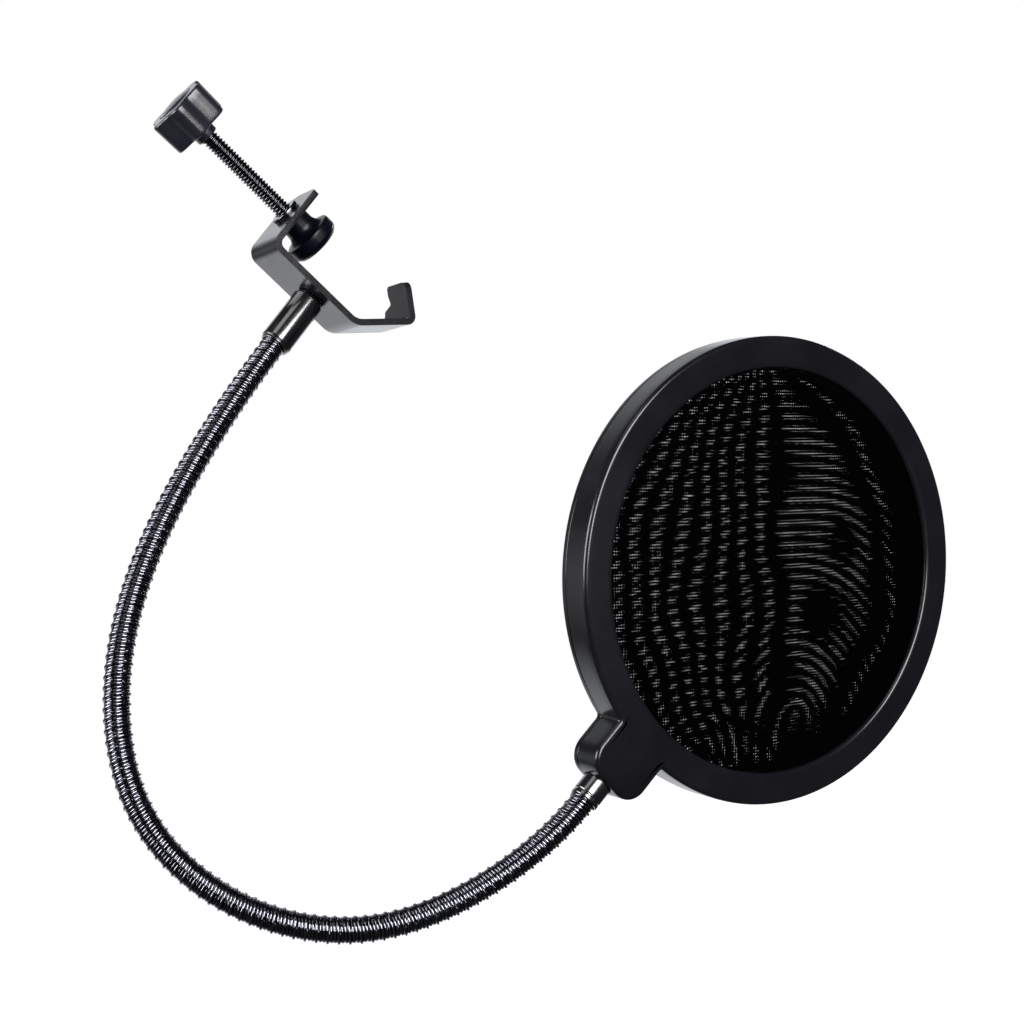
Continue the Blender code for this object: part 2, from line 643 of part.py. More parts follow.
turned("front_net", rod(wall_in - GAP, net_top - NET_T, net_top), RING, NET, steps=RING_STEPS)
turned("rear_net", rod(hoop_out, -net_top, -net_top + NET_T), RING, NET, steps=RING_STEPS)
ring_of("front_hoop", HOOP_INNER_R, wall_in - GAP, hoop_low, hoop_top, HOOP)
ring_of("rear_hoop", HOOP_INNER_R, hoop_out, -hoop_top, -hoop_low, HOOP)
ring_of("spacer_ring", HOOP_INNER_R, hoop_out, -spacer, spacer, HOOP)

end, base_r = HEAD_FERRULE_END, HEAD_FERRULE_R
socket = end - HEAD_SOCKET - GAP
turned("head_ferrule",
       [(FERRULE_BORE_R, end), (base_r - 0.2, end), (base_r, end - 0.4), (base_r, COLLAR_AT + 1.6), (COLLAR_R, COLLAR_AT + 1.6),
        (COLLAR_R, COLLAR_AT), (1.5, COLLAR_AT), (1.5, socket), (FERRULE_BORE_R, socket)],
       TAB, GLOSS, closed=True, steps=32)

# --------------------------------------------------------------- joint frames
# Each empty sits on a joint, with its z along the joint's axis.

screw_joint = empty("joint_clamp_screw", SCREW)
for name in ("clamp_screw", "knob_body", "knob_cap", "pressure_pad"):
    piece = bpy.data.objects[name]
    world = piece.matrix_world.copy()
    piece.parent = screw_joint
    piece.matrix_parent_inverse = Matrix.Identity(4)
    piece.matrix_basis = SCREW.inverted() @ world

previous = None
for k, length in enumerate(joint_at):
    along = neck_tangent(length)
    across = bend_normal - bend_normal.dot(along) * along
    across.normalize()
    # Odd joints bend in the plane of the loop, even ones out of it.
    axis = across if k % 2 == 0 else along.cross(across)
    pivot = empty(f"joint_neck_{k + 1}", frame(neck_point(length), along.cross(axis), along, axis))
    piece = bpy.data.objects[f"gooseneck_{k + 2}"]
    bpy.context.view_layer.update()
    world = piece.matrix_world.copy()
    piece.parent = pivot
    piece.matrix_parent_inverse = Matrix.Identity(4)
    piece.matrix_basis = pivot.matrix_world.inverted() @ world
    previous = pivot
for name in ("ring_front_shell", "ring_rear_shell", "front_net", "rear_net", "front_hoop",
             "rear_hoop", "spacer_ring", "head_ferrule", "tab_screw_left", "tab_screw_right"):
    piece = bpy.data.objects[name]
    bpy.context.view_layer.update()
    world = piece.matrix_world.copy()
    piece.parent = previous
    piece.matrix_parent_inverse = Matrix.Identity(4)
    piece.matrix_basis = previous.matrix_world.inverted() @ world
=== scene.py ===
"""Looks for the pop filter: knitted nets, wound gooseneck, screw thread, moulded
shells and the bent steel clamp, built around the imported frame."""

import json
import math

import bmesh
import bpy
import numpy as np
from mathutils import Euler, Matrix, Vector

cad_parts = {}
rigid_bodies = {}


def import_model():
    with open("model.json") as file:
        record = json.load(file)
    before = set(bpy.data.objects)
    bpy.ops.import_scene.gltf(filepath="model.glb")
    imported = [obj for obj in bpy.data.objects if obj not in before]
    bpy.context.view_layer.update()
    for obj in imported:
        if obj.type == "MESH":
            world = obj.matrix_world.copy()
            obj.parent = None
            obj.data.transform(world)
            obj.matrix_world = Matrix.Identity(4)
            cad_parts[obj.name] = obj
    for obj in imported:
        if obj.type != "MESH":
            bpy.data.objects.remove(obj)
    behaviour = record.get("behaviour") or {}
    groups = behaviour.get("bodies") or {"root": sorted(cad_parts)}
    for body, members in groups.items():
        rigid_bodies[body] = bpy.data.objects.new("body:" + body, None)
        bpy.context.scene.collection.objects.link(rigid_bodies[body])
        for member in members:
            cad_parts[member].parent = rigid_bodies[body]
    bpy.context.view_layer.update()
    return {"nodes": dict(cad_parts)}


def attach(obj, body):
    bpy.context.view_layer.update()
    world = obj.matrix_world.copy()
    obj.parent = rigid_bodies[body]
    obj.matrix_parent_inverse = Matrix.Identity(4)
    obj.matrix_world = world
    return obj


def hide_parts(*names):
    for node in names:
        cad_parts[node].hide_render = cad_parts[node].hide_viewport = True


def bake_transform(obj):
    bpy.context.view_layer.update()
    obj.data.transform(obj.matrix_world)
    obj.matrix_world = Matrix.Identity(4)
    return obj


for old in list(bpy.data.objects):
    bpy.data.objects.remove(old, do_unlink=True)

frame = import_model()
MM = 0.001

# ------------------------------------------------------------- dimensions, mm
STRIP_WIDTH = 20.0
STRIP_THICK = 2.3
SPINE_LENGTH = 40.5
LEG_LENGTH = 26.6
LEG_BEND_R = 4.6
HOOK_ANGLE = 44.0
HOOK_LENGTH = 24.3
HOOK_BEND_R = 8.0
LIP_ANGLE = 137.6
LIP_LENGTH = 15.4
LIP_BEND_R = 3.2
LIP_NOTCH = 7.7
LEG_BACK_R = 8.5
LEG_FRONT_R = 1.6
SCREW_OFFSET = 16.9
FERRULE_ALONG = 24.7
JAW_ALONG = 32.0
JAW_ACROSS = 15.3
SCREW_TOP = -48.6
THREAD_PITCH = 1.25
KNOB_BOTTOM = -39.9
KNOB_HEIGHT = 12.0
KNOB_R = 11.7
KNOB_LOBE = 0.95
KNOB_LOBES = 6
NECK_R = 4.15
NECK_SEGMENTS = 8
NECK_PITCH = 3.3
BASE_FERRULE_R = 5.6
BASE_FERRULE_L = 22.0
RING_CENTRE = (103.5, -101.5, -98.6)
RING_R = 77.8
RING_INNER_R = 67.2
RING_HALF = 7.0
RING_SPLIT = -4.0
TAB_ANGLE = 43.5
TAB_WIDTH = 23.5
TAB_END = 94.0
TAB_CORNER_R = 7.5
HEAD_FERRULE_R = 4.9
HEAD_FERRULE_END = 101.5
COLLAR_AT = 84.6
TAB_SCREW_SIDE = 8.4
TAB_SCREW_AT = 83.0
ROUTE = (
    (-58.5, -10, -57),
    (-84.5, -22, -95),
    (-99, -37, -135),
    (-96, -52, -169),
    (-74, -67, -194),
    (-38, -82, -204),
    (0, -94, -192),
)

ROT = Euler([math.radians(a) for a in (83.0, 41.0, -4.0)]).to_matrix()
S_AXIS, T_AXIS, F_AXIS = (ROT @ Vector(v) for v in ((1, 0, 0), (0, 1, 0), (0, 0, 1)))


def clamp_point(s, t, f=0.0):
    return (s - JAW_ALONG) * S_AXIS + (t - JAW_ACROSS) * T_AXIS + f * F_AXIS


def axes(origin, x, y, z):
    return Matrix.Translation(Vector(origin) * MM) @ Matrix((x, y, z)).transposed().to_4x4()


CLAMP = axes(clamp_point(0, 0), S_AXIS, T_AXIS, F_AXIS)
SCREW = axes(clamp_point(0, SCREW_OFFSET), T_AXIS, F_AXIS, S_AXIS)
BASE = axes(clamp_point(FERRULE_ALONG, 0), -F_AXIS, S_AXIS, -T_AXIS)
LEG_FACE = axes(clamp_point(0, 0), T_AXIS, F_AXIS, S_AXIS)
OUT = Vector((0, -1, 0))
TAB_DIR = Vector((-math.cos(math.radians(TAB_ANGLE)), 0, -math.sin(math.radians(TAB_ANGLE))))
TAB = axes(RING_CENTRE, OUT, TAB_DIR.cross(OUT), TAB_DIR)
TAB_FLAT = axes(RING_CENTRE, TAB_DIR, OUT.cross(TAB_DIR), OUT)
RING = axes(RING_CENTRE, Vector((1, 0, 0)), Vector((0, 0, 1)), OUT)

# ------------------------------------------------------------------ materials


def nodes_of(name):
    made = bpy.data.materials.new(name)
    made.use_nodes = True
    tree = made.node_tree
    return made, tree, tree.nodes["Principled BSDF"]


def moulded(name, colour, rough, grain=9000.0, bump=0.05, spread=0.06, coat=0.0, specular=0.5, metallic=0.0,
            mottle=60.0, tint=0.25, coat_rough=0.1):
    """Moulded or coated surface: fine grain in the bump, slow variation in
    colour and roughness. Scales are per metre."""
    made, tree, shader = nodes_of(name)
    new, link = tree.nodes.new, tree.links.new
    place = new("ShaderNodeTexCoord")
    slow = new("ShaderNodeTexNoise")
    slow.inputs["Scale"].default_value = mottle
    slow.inputs["Detail"].default_value = 4.0
    slow.inputs["Roughness"].default_value = 0.6
    link(place.outputs["Object"], slow.inputs["Vector"])
    ramp = new("ShaderNodeValToRGB")
    ramp.color_ramp.elements[0].position = 0.3
    ramp.color_ramp.elements[1].position = 0.7
    dark = [c * (1 - tint) for c in colour]
    light = [c * (1 + tint) for c in colour]
    ramp.color_ramp.elements[0].color = (*dark, 1)
    ramp.color_ramp.elements[1].color = (*light, 1)
    link(slow.outputs["Fac"], ramp.inputs["Fac"])
    link(ramp.outputs["Color"], shader.inputs["Base Color"])
    span = new("ShaderNodeMapRange")
    span.inputs["From Min"].default_value = 0.3
    span.inputs["From Max"].default_value = 0.7
    span.inputs["To Min"].default_value = max(0.02, rough - spread)
    span.inputs["To Max"].default_value = rough + spread
    link(slow.outputs["Fac"], span.inputs["Value"])
    link(span.outputs["Result"], shader.inputs["Roughness"])
    fine = new("ShaderNodeTexNoise")
    fine.inputs["Scale"].default_value = grain
    fine.inputs["Detail"].default_value = 3.0
    link(place.outputs["Object"], fine.inputs["Vector"])
    raised = new("ShaderNodeBump")
    raised.inputs["Strength"].default_value = bump
    raised.inputs["Distance"].default_value = 0.0002
    link(fine.outputs["Fac"], raised.inputs["Height"])
    link(raised.outputs["Normal"], shader.inputs["Normal"])
    shader.inputs["Metallic"].default_value = metallic
    shader.inputs["Specular IOR Level"].default_value = specular
    shader.inputs["Coat Weight"].default_value = coat
    shader.inputs["Coat Roughness"].default_value = coat_rough
    return made


def knit(name, colour):
    """Nylon yarn: fine filaments across the thread and a soft sheen."""
    made, tree, shader = nodes_of(name)
    new, link = tree.nodes.new, tree.links.new
    place = new("ShaderNodeTexCoord")
    strands = new("ShaderNodeTexNoise")
    strands.inputs["Scale"].default_value = 5200.0
    strands.inputs["Detail"].default_value = 2.0
    link(place.outputs["Object"], strands.inputs["Vector"])
    ramp = new("ShaderNodeValToRGB")
    ramp.color_ramp.elements[0].color = (*[c * 0.5 for c in colour], 1)
    ramp.color_ramp.elements[1].color = (*[c * 1.6 for c in colour], 1)
    link(strands.outputs["Fac"], ramp.inputs["Fac"])
    link(ramp.outputs["Color"], shader.inputs["Base Color"])
    raised = new("ShaderNodeBump")
    raised.inputs["Strength"].default_value = 0.35
    raised.inputs["Distance"].default_value = 0.00005
    link(strands.outputs["Fac"], raised.inputs["Height"])
    link(raised.outputs["Normal"], shader.inputs["Normal"])
    shader.inputs["Roughness"].default_value = 0.75
    shader.inputs["Specular IOR Level"].default_value = 0.01
    return made


SHELL = moulded("shell_plastic_look", (0.0052, 0.0053, 0.007), 0.2, grain=7000, bump=0.02, spread=0.03, specular=0.45, mottle=45)
SHELL_IN = moulded("inner_plastic_look", (0.002, 0.002, 0.0025), 0.6, specular=0.15)
NET = knit("nylon_net_look", (0.0002, 0.0002, 0.00035))
GLOSS = moulded("gloss_black_look", (0.003, 0.003, 0.004), 0.2, bump=0.02, spread=0.03, coat=0.9, specular=0.9, mottle=120)
COIL = moulded("wound_steel_look", (0.17, 0.17, 0.195), 0.12, bump=0.03, spread=0.05, metallic=1.0, mottle=300)
STRIP = moulded("coated_strip_look", (0.0075, 0.0075, 0.0098), 0.21, grain=5200, bump=0.05, spread=0.04, specular=1.0, mottle=90)
THREAD = moulded("black_thread_look", (0.12, 0.12, 0.135), 0.12, grain=9000, bump=0.08, spread=0.07, metallic=1.0)
KNOB = moulded("knob_plastic_look", (0.0105, 0.0105, 0.0165), 0.26, grain=6500, bump=0.02, spread=0.03, specular=0.6, mottle=80)
CAP = moulded("knob_cap_look", (0.012, 0.012, 0.015), 0.26, grain=6500, bump=0.02, spread=0.04, specular=0.6, mottle=80)
PAD = moulded("pad_rubber_look", (0.0014, 0.0019, 0.005), 0.3, grain=6000, bump=0.02, spread=0.03, specular=0.2, mottle=100)
ZINC = moulded("zinc_look", (0.34, 0.34, 0.35), 0.34, metallic=1.0, bump=0.05, spread=0.1, mottle=400, tint=0.12)

# ------------------------------------------------------------------- builders


def keep(obj, look, body, slot, *replaced):
    obj.data.materials.clear()
    obj.data.materials.append(look)
    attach(obj, body)
    if replaced:
        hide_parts(*replaced)
    return obj


def link_mesh(name, verts, faces, matrix=None):
    mesh = bpy.data.meshes.new(name)
    mesh.from_pydata([tuple(v) for v in verts], [], faces)
    if matrix is not None:
        mesh.transform(matrix)
        if matrix.to_3x3().determinant() < 0:
            mesh.flip_normals()
    obj = bpy.data.objects.new(name, mesh)
    bpy.context.scene.collection.objects.link(obj)
    return obj


def outward(obj):
    work = bmesh.new()
    work.from_mesh(obj.data)
    bmesh.ops.recalc_face_normals(work, faces=work.faces)
    work.to_mesh(obj.data)
    work.free()
    return obj


def smooth(obj, angle=35):
    obj.data.shade_smooth()
    obj.data.set_sharp_from_angle(angle=math.radians(angle))
    return obj


def lathe(name, profile, matrix, closed=False, steps=96, angle=35):
    """A turned piece: profile of (radius, z) in millimetres. An open profile
    starts and ends on the axis."""
    profile = [(r * MM, z * MM) for r, z in profile]
    verts, rows = [], []
    for r, z in profile:
        if r < 1e-7:
            rows.append([len(verts)] * steps)
            verts.append((0, 0, z))
        else:
            rows.append(list(range(len(verts), len(verts) + steps)))
            verts += [(r * math.cos(math.tau * k / steps), r * math.sin(math.tau * k / steps), z) for k in range(steps)]
    faces = []
    pairs = list(zip(rows, rows[1:])) + ([(rows[-1], rows[0])] if closed else [])
    for upper, lower in pairs:
        for k in range(steps):
            n = (k + 1) % steps
            quad = [upper[k], lower[k], lower[n], upper[n]]
            face = [v for i, v in enumerate(quad) if v != quad[i - 1]]
            if len(face) > 2:
                faces.append(face)
    obj = link_mesh(name, verts, faces, matrix)
    return smooth(outward(obj), angle)


def rounded(points, radius, steps=4):
    """The same profile with its inner corners rounded. radius is one number,
    or one for each point."""
    radii = radius if isinstance(radius, (list, tuple)) else [radius] * len(points)
    out = []
    for i, p in enumerate(points):
        if i in (0, len(points) - 1) or radii[i] <= 0:
            out.append(tuple(p))
            continue
        p = Vector(p)
        a, b = Vector(points[i - 1]) - p, Vector(points[i + 1]) - p
        half = a.angle(b) / 2
        if half > math.radians(88):
            out.append(tuple(p))
            continue
        cut = min(radii[i] / math.tan(half), a.length * 0.49, b.length * 0.49)
        r = cut * math.tan(half)
        centre = p + (a.normalized() + b.normalized()).normalized() * (r / math.sin(half))
        start = p + a.normalized() * cut - centre
        end = p + b.normalized() * cut - centre
        sweep = math.atan2(start.cross(end), start.dot(end))
        for k in range(steps + 1):
            t = sweep * k / steps
            out.append(tuple(centre + Vector((start.x * math.cos(t) - start.y * math.sin(t),
                                              start.x * math.sin(t) + start.y * math.cos(t)))))
    return out


def cutter(profile, matrix, steps=64, name="cut"):
    obj = lathe(name, profile, matrix, steps=steps)
    return obj


def rod(radius, low, high):
    return [(0, high), (radius, high), (radius, low), (0, low)]


def solid_plate(name, outline, low, high, matrix):
    count = len(outline)
    verts = [(x * MM, y * MM, low * MM) for x, y in outline] + [(x * MM, y * MM, high * MM) for x, y in outline]
    faces = [[k, (k + 1) % count, (k + 1) % count + count, k + count] for k in range(count)]
    faces += [list(range(count))[::-1], list(range(count, 2 * count))]
    return outward(link_mesh(name, verts, faces, matrix))


def apply_all(obj):
    """Bakes the modifiers into the mesh."""
    bpy.context.view_layer.update()
    graph = bpy.context.evaluated_depsgraph_get()
    mesh = bpy.data.meshes.new_from_object(obj.evaluated_get(graph))
    obj.modifiers.clear()
    old, obj.data = obj.data, mesh
    bpy.data.meshes.remove(old)
    return obj


def cut(obj, *others, operation="DIFFERENCE", folded=False):
    for other in others:
        step = obj.modifiers.new("cut", "BOOLEAN")
        step.operation = operation
        step.solver = "EXACT"
        step.use_self = folded
        step.object = other
    apply_all(obj)
    for other in others:
        bpy.data.objects.remove(other, do_unlink=True)
    return obj


def bevelled(obj, width, segments=3, angle=40):
    step = obj.modifiers.new("edge", "BEVEL")
    step.width = width * MM
    step.segments = segments
    step.limit_method = "ANGLE"
    step.angle_limit = math.radians(angle)
    step.harden_normals = False
    return apply_all(obj)


# ---------------------------------------------------------------------- clamp

def offset_strip(corners, radii, thick, arc_steps=14):
    points = [Vector(c) for c in corners]
    ahead = (points[1] - points[0]).normalized()
    outer, inner = [points[0]], [points[0] + thick * Vector((-ahead.y, ahead.x))]
    for i in range(1, len(points) - 1):
        before = (points[i] - points[i - 1]).normalized()
        after = (points[i + 1] - points[i]).normalized()
        turn = math.atan2(before.cross(after), before.dot(after))
        radius = radii[i - 1]
        start = points[i] - radius * math.tan(abs(turn) / 2) * before
        centre = start + radius * Vector((-before.y, before.x))
        for step in range(arc_steps + 1):
            a = turn * step / arc_steps
            spoke = start - centre
            spoke = Vector((spoke.x * math.cos(a) - spoke.y * math.sin(a), spoke.x * math.sin(a) + spoke.y * math.cos(a)))
            outer.append(centre + spoke)
            inner.append(centre + spoke * (radius - thick) / radius)
    ahead = (points[-1] - points[-2]).normalized()
    outer.append(points[-1])
    inner.append(points[-1] + thick * Vector((-ahead.y, ahead.x)))
    return [tuple(p) for p in outer + inner[::-1]]


def polar(angle, length):
    return Vector((math.cos(math.radians(angle)), math.sin(math.radians(angle)))) * length


def corner_waste(reach, radius, far, side, steps=14):
    centre = (reach - radius, far - radius)
    arc = [(centre[0] + radius * math.sin(a), centre[1] + radius * math.cos(a)) for a in (math.pi / 2 * k / steps for k in range(steps + 1))]
    return [(a, side * b) for a, b in [(centre[0], far + 3)] + arc + [(reach + 3, centre[1]), (reach + 3, far + 3)]]


bend_2 = Vector((SPINE_LENGTH, 0))
bend_3 = bend_2 + polar(HOOK_ANGLE, HOOK_LENGTH)
lip_end = bend_3 + polar(LIP_ANGLE, LIP_LENGTH)
half = STRIP_WIDTH / 2
bracket = solid_plate("bracket", offset_strip([(0, LEG_LENGTH), (0, 0), bend_2, bend_3, lip_end],
                                              [LEG_BEND_R, HOOK_BEND_R, LIP_BEND_R], STRIP_THICK), -half, half, CLAMP)
lip_dir = ROT @ polar(LIP_ANGLE, 1).to_3d()
LIP_FACE = axes(clamp_point(*bend_3), lip_dir, F_AXIS, lip_dir.cross(F_AXIS))


def lip_back(u):
    reach = half
    for start, end, drop in ((2.0, 6.5, 0.37 * LIP_NOTCH), (6.5, 9.2, 0.63 * LIP_NOTCH), (9.2, 12.5, -0.12 * LIP_NOTCH)):
        k = min(1.0, max(0.0, (u - start) / (end - start)))
        reach -= drop * k * k * (3 - 2 * k)
    return reach


back = [(2.0 + 0.4 * k, -lip_back(2.0 + 0.4 * k)) for k in range(int((LIP_LENGTH - 2.0) / 0.4))]
back += [(LIP_LENGTH - 0.4, 0.7 - lip_back(14)), (LIP_LENGTH + 3, 2.2 - lip_back(14))]
cut(bracket,
    solid_plate("w1", corner_waste(LEG_LENGTH, LEG_FRONT_R, half, 1), -2, 5, LEG_FACE),
    solid_plate("w2", corner_waste(LEG_LENGTH, LEG_BACK_R, half, -1), -2, 5, LEG_FACE),
    solid_plate("w3", back + [(LIP_LENGTH + 3, -half - 3), (2.0, -half - 3)], -5, 5, LIP_FACE),
    solid_plate("w4", corner_waste(LIP_LENGTH, 3.0, half, 1), -5, 5, LIP_FACE),
    cutter(rod(4.5, -3, 6), SCREW), cutter(rod(2.8, -6, 3), BASE))
bevelled(bracket, 0.58, 4, 42)
smooth(bracket, 40)
keep(bracket, STRIP, "clamp", "coated_strip", "clamp_bracket")

bush = lathe("thread_bush_look", rounded(
    [(2.75, 2.0), (4.2, 2.0), (4.2, -0.3), (5.2, -0.3), (5.2, -1.6), (3.4, -1.6), (2.75, -1.1), (2.75, 2.0)],
    [0, 0.1, 0, 0.15, 0.35, 0.1, 0.1, 0], 3)[:-1], SCREW, closed=True)
keep(bush, THREAD, "clamp", "oxide_steel", "thread_bush")


def screw_thread(name, low, high, crest, depth, pitch, matrix, around=48, per_turn=12):
    """A right-hand V thread with flat crests, run out at both ends."""
    count = int((high - low) / pitch * per_turn)
    verts, faces = [], []
    for i in range(count + 1):
        z = low + (high - low) * i / count
        fade = min(1.0, (z - low) / 1.4, (high - z) / 1.0)
        for k in range(around):
            a = math.tau * k / around
            phase = (z / pitch - k / around) % 1.0
            ridge = 1 - abs(2 * phase - 1)
            ridge = min(1.0, max(0.0, (ridge - 0.12) / 0.72))
            r = crest - depth * (1 - ridge)
            r = r * 1.0 if fade >= 1 else min(r, crest - depth + depth * fade)
            verts.append((r * math.cos(a) * MM, r * math.sin(a) * MM, z * MM))
    for i in range(count):
        for k in range(around):
            n = (k + 1) % around
            faces.append([i * around + k, i * around + n, (i + 1) * around + n, (i + 1) * around + k])
    faces.append(list(range(around))[::-1])
    faces.append(list(range(count * around, (count + 1) * around)))
    return smooth(outward(link_mesh(name, verts, faces, matrix)), 60)


thread = screw_thread("clamp_thread", SCREW_TOP, 6.1, 2.97, 0.7, THREAD_PITCH, SCREW)
keep(thread, THREAD, "screw", "oxide_steel", "clamp_screw")
ball = lathe("clamp_ball", [(0, 11.6), (1.3, 11.3), (2.0, 10.7), (2.45, 9.9), (2.6, 9.0), (2.45, 8.2), (1.8, 7.2), (1.8, 6.0), (0, 6.0)], SCREW, steps=48)
keep(ball, THREAD, "screw", "oxide_steel")


def lobed_knob(name, levels, matrix, around=240):
    """A knob by rings: each level is (z, inset, share of the flutes)."""
    verts, faces = [], []
    for z, inset, share in levels:
        for k in range(around):
            a = math.tau * k / around
            wave = math.cos(KNOB_LOBES * a)
            r = max(0.4, KNOB_R - inset - KNOB_LOBE * share * (1 - wave))
            verts.append((r * math.cos(a) * MM, r * math.sin(a) * MM, z * MM))
    for i in range(len(levels) - 1):
        for k in range(around):
            n = (k + 1) % around
            faces.append([i * around + k, i * around + n, (i + 1) * around + n, (i + 1) * around + k])
    faces.append(list(range(around))[::-1])
    faces.append([(len(levels) - 1) * around + k for k in range(around)])
    return outward(link_mesh(name, verts, faces, matrix))


top = KNOB_BOTTOM - KNOB_HEIGHT
edge = [(0.9 * (1 - math.sin(a)), 0.9 * (1 - math.cos(a))) for a in (math.pi / 2 * k / 5 for k in range(6))]
levels = [(top, 2.6, 0.2), (top, 1.6, 0.7)] + [(top + d, i, 1.0) for i, d in edge]
levels += [(top + KNOB_HEIGHT * k / 8, 0.25 * k / 8 - 0.0, 1.0) for k in range(2, 8)]
levels += [(KNOB_BOTTOM - 0.6 * (1 - math.sin(a)), 0.25 + 0.6 * (1 - math.cos(a)), 1.0) for a in (math.pi / 2 * k / 4 for k in range(5))]
levels += [(KNOB_BOTTOM, 2.2, 0.5)]
knob = lobed_knob("knob", levels, SCREW)
cut(knob, lathe("boss", rounded([(0, KNOB_BOTTOM - 2), (4.0, KNOB_BOTTOM - 2), (4.0, KNOB_BOTTOM + 3.2), (0, KNOB_BOTTOM + 3.2)][::-1], [0, 0.5, 0, 0]), SCREW), operation="UNION")
cut(knob, cutter(rod(3.25, SCREW_TOP - 0.3, KNOB_BOTTOM + 9), SCREW), cutter(rod(7.1, top - 3, top + 1.4), SCREW, 96))
smooth(knob, 38)
keep(knob, KNOB, "screw", "knob_plastic", "knob_body")
cap = lathe("knob_cap_look", rounded([(0, top - 1.0), (2.6, top - 0.9), (4.8, top - 0.62), (6.8, top - 0.05), (6.8, top + 1.1), (0, top + 1.1)], [0, 3.0, 3.0, 0.35, 0.1, 0]), SCREW)
keep(cap, CAP, "screw", "knob_plastic", "knob_cap")

pad_profile = [(0, 15.9), (6.0, 15.9), (7.8, 15.35), (8.9, 14.3), (9.2, 13.3), (9.2, 10.6), (8.95, 9.85), (8.4, 9.6)]
pad_profile += [(8.4 - 3.05 * math.sin(a), 9.6 - 3.4 * (1 - math.cos(a))) for a in (math.pi / 2 * k / 12 for k in range(1, 13))]
pad_profile += [(5.35, 3.3), (4.95, 2.9), (3.25, 2.9), (3.25, 6.3), (2.15, 6.9), (2.15, 7.1), (2.95, 9.0), (2.6, 10.5), (1.6, 11.6), (0, 11.95)]
pad = lathe("pressure_pad_look", rounded(pad_profile, [0, 0.4, 0.9, 0.7, 0.5, 0.3, 0.2] + [0] * (len(pad_profile) - 7), 3), SCREW, angle=40)
keep(pad, PAD, "pad", "pad_rubber", "pressure_pad")

# ------------------------------------------------------------------ ferrules

L = BASE_FERRULE_L
base_ferrule = lathe("base_ferrule_look", rounded(
    [(4.45, L), (4.6, L + 0.02), (5.0, L), (5.15, L - 0.5), (5.0, L - 0.95), (5.45, L - 1.25), (5.6, L - 1.8), (5.6, 1.7), (4.9, 0.35),
     (2.7, 0.3), (2.7, 7.5), (1.5, 8.2), (1.5, 9.7), (4.45, 9.7), (4.45, L)],
    [0, 0.1, 0.35, 0.3, 0.2, 0.25, 0.4, 0.5, 0.2, 0, 0, 0, 0, 0, 0], 3)[:-1], BASE, closed=True, angle=50)
keep(base_ferrule, GLOSS, "clamp", "gloss_black", "base_ferrule")

# slotted pan head inside the jaw
screw_low = -STRIP_THICK - 0.3
base_screw = lathe("base_screw_look", rounded([(0, 7.0), (1.9, 7.0), (2.4, 6.4), (2.4, screw_low - 0.7), (4.1, screw_low - 0.7), (4.1, screw_low - 1.3), (3.0, screw_low - 2.0), (0, screw_low - 2.0)][::-1],
                                              [0, 0.6, 0.3, 0.1, 0, 0, 0, 0]), BASE)
slot_1 = solid_plate("s1", [(-2.1, -0.42), (2.1, -0.42), (2.1, 0.42), (-2.1, 0.42)], screw_low - 3, screw_low - 1.25, BASE)
slot_2 = solid_plate("s2", [(-0.42, -2.1), (0.42, -2.1), (0.42, 2.1), (-0.42, 2.1)], screw_low - 3.1, screw_low - 1.2, BASE)
cut(base_screw, slot_1, slot_2)
smooth(base_screw, 35)
keep(base_screw, THREAD, "clamp", "fastener_steel", "base_screw")

end = HEAD_FERRULE_END
head_ferrule = lathe("head_ferrule_look", rounded(
    [(4.45, end), (4.75, end), (4.9, end - 0.4), (4.9, end - 1.3), (4.72, end - 1.6), (4.72, end - 1.9), (4.9, end - 2.2), (4.9, COLLAR_AT + 1.6),
     (5.8, COLLAR_AT + 1.6), (5.8, COLLAR_AT), (1.5, COLLAR_AT), (1.5, end - 10.3), (4.45, end - 10.3), (4.45, end)],
    [0, 0.15, 0.3, 0.1, 0.1, 0.1, 0.1, 0, 0, 0, 0, 0, 0, 0], 3)[:-1], TAB, closed=True, angle=50)
keep(head_ferrule, GLOSS, "filter_head", "gloss_black", "head_ferrule")

# ----------------------------------------------------------------- gooseneck


def clamped_spline(points, first, last):
    points = np.array(points, float)
    knots = np.concatenate([[0.0], np.cumsum(np.linalg.norm(np.diff(points, axis=0), axis=1))])
    h = np.diff(knots)
    n = len(points)
    matrix = np.zeros((n, n))
    right = np.zeros((n, 3))
    matrix[0, 0] = matrix[-1, -1] = 1
    right[0], right[-1] = first, last
    for i in range(1, n - 1):
        matrix[i, i - 1] = h[i]
        matrix[i, i] = 2 * (h[i - 1] + h[i])
        matrix[i, i + 1] = h[i - 1]
        right[i] = 3 * (h[i] * (points[i] - points[i - 1]) / h[i - 1] + h[i - 1] * (points[i + 1] - points[i]) / h[i])
    slopes = np.linalg.solve(matrix, right)

    def at(s):
        i = int(np.clip(np.searchsorted(knots, s) - 1, 0, n - 2))
        u = (s - knots[i]) / h[i]
        return ((2 * u**3 - 3 * u**2 + 1) * points[i] + (u**3 - 2 * u**2 + u) * h[i] * slopes[i]
                + (-2 * u**3 + 3 * u**2) * points[i + 1] + (u**3 - u**2) * h[i] * slopes[i + 1])

    return at, knots[-1]


